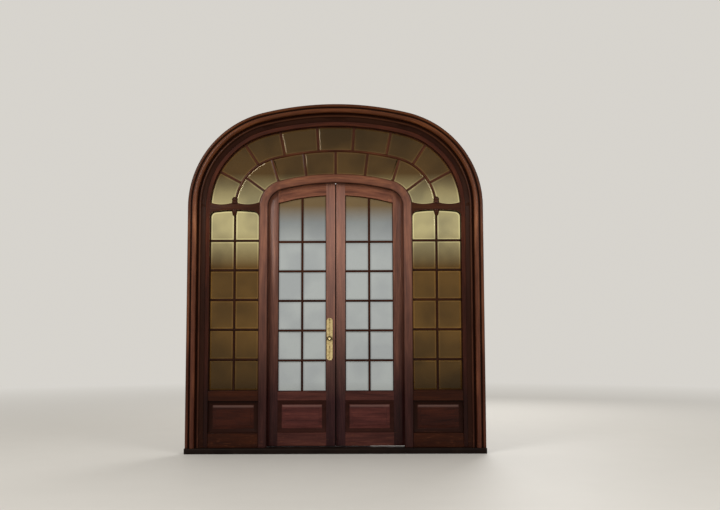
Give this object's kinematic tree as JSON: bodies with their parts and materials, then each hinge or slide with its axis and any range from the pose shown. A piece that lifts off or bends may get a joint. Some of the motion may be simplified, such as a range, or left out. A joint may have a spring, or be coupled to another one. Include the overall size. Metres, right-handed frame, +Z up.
{
  "type": "arched entrance door set with sidelights and fanlight",
  "caption": "Arched hardwood entrance door set: a pair of glazed leaves that swing outwards, fixed sidelights and a two-band fanlight in a moulded casing.",
  "frame": {"origin": "middle of the sill's underside, in the plane of the wall surface behind the casing", "axes": "+Z up, +Y from the lobby towards the street, +X to the right as seen from the lobby"},
  "size_m": [3.02, 0.248, 3.5574],
  "materials": {
    "mahogany": "satin varnish",
    "panel_mahogany": "satin varnish",
    "sill_stone": "polished",
    "brass": "polished, worn",
    "clear_glass": "clear, bevelled",
    "bronze_glass": "bronze tint, bevelled"
  },
  "bodies": {
    "root": {"sill": "sill_stone", "left_casing_leg": "mahogany", "right_casing_leg": "mahogany", "left_casing_haunch": "mahogany", "right_casing_haunch": "mahogany", "casing_crown": "mahogany", "left_jamb": "mahogany", "right_jamb": "mahogany", "frame_arch": "mahogany", "left_post": "mahogany", "right_post": "mahogany", "door_head": "mahogany", "left_transom": "mahogany", "right_transom": "mahogany", "fanlight_curved_bar": "mahogany", "fanlight_outer_bars": "mahogany", "fanlight_inner_bars": "mahogany", "fanlight_outer_glass": "bronze_glass", "fanlight_inner_glass": "bronze_glass", "left_sidelight_rails": "mahogany", "left_sidelight_panel": "panel_mahogany", "left_sidelight_bars": "mahogany", "left_sidelight_glass": "bronze_glass", "right_sidelight_rails": "mahogany", "right_sidelight_panel": "panel_mahogany", "right_sidelight_bars": "mahogany", "right_sidelight_glass": "bronze_glass", "left_frame_hinges": "brass", "right_frame_hinges": "brass"},
    "left_leaf": {"left_leaf_hinge_stile": "mahogany", "left_leaf_meeting_stile": "mahogany", "left_leaf_top_rail": "mahogany", "left_leaf_rails": "mahogany", "left_leaf_panel": "panel_mahogany", "left_leaf_bars": "mahogany", "left_leaf_glass": "clear_glass", "left_leaf_hinges": "brass", "lock_plates": "brass"},
    "right_leaf": {"right_leaf_hinge_stile": "mahogany", "right_leaf_meeting_stile": "mahogany", "right_leaf_top_rail": "mahogany", "right_leaf_rails": "mahogany", "right_leaf_panel": "panel_mahogany", "right_leaf_bars": "mahogany", "right_leaf_glass": "clear_glass", "right_leaf_hinges": "brass"},
    "knob": {"door_knob": "brass"}
  },
  "joints": [
    {"name": "left_leaf_swing", "type": "hinge", "parent": "root", "child": "left_leaf", "pos_m": [-0.707, 0.1275, 1.275], "axis": [0, 0, 1], "range_deg": [0, 100]},
    {"name": "right_leaf_swing", "type": "hinge", "parent": "root", "child": "right_leaf", "pos_m": [0.707, 0.1275, 1.275], "axis": [0, 0, -1], "range_deg": [0, 100]},
    {"name": "knob_turn", "type": "hinge", "parent": "left_leaf", "child": "knob", "pos_m": [-0.0625, 0.095, 1.145], "axis": [0, 1, 0], "range_deg": [-60, 60], "stiffness_Nm_per_rad": 0.5}
  ]
}
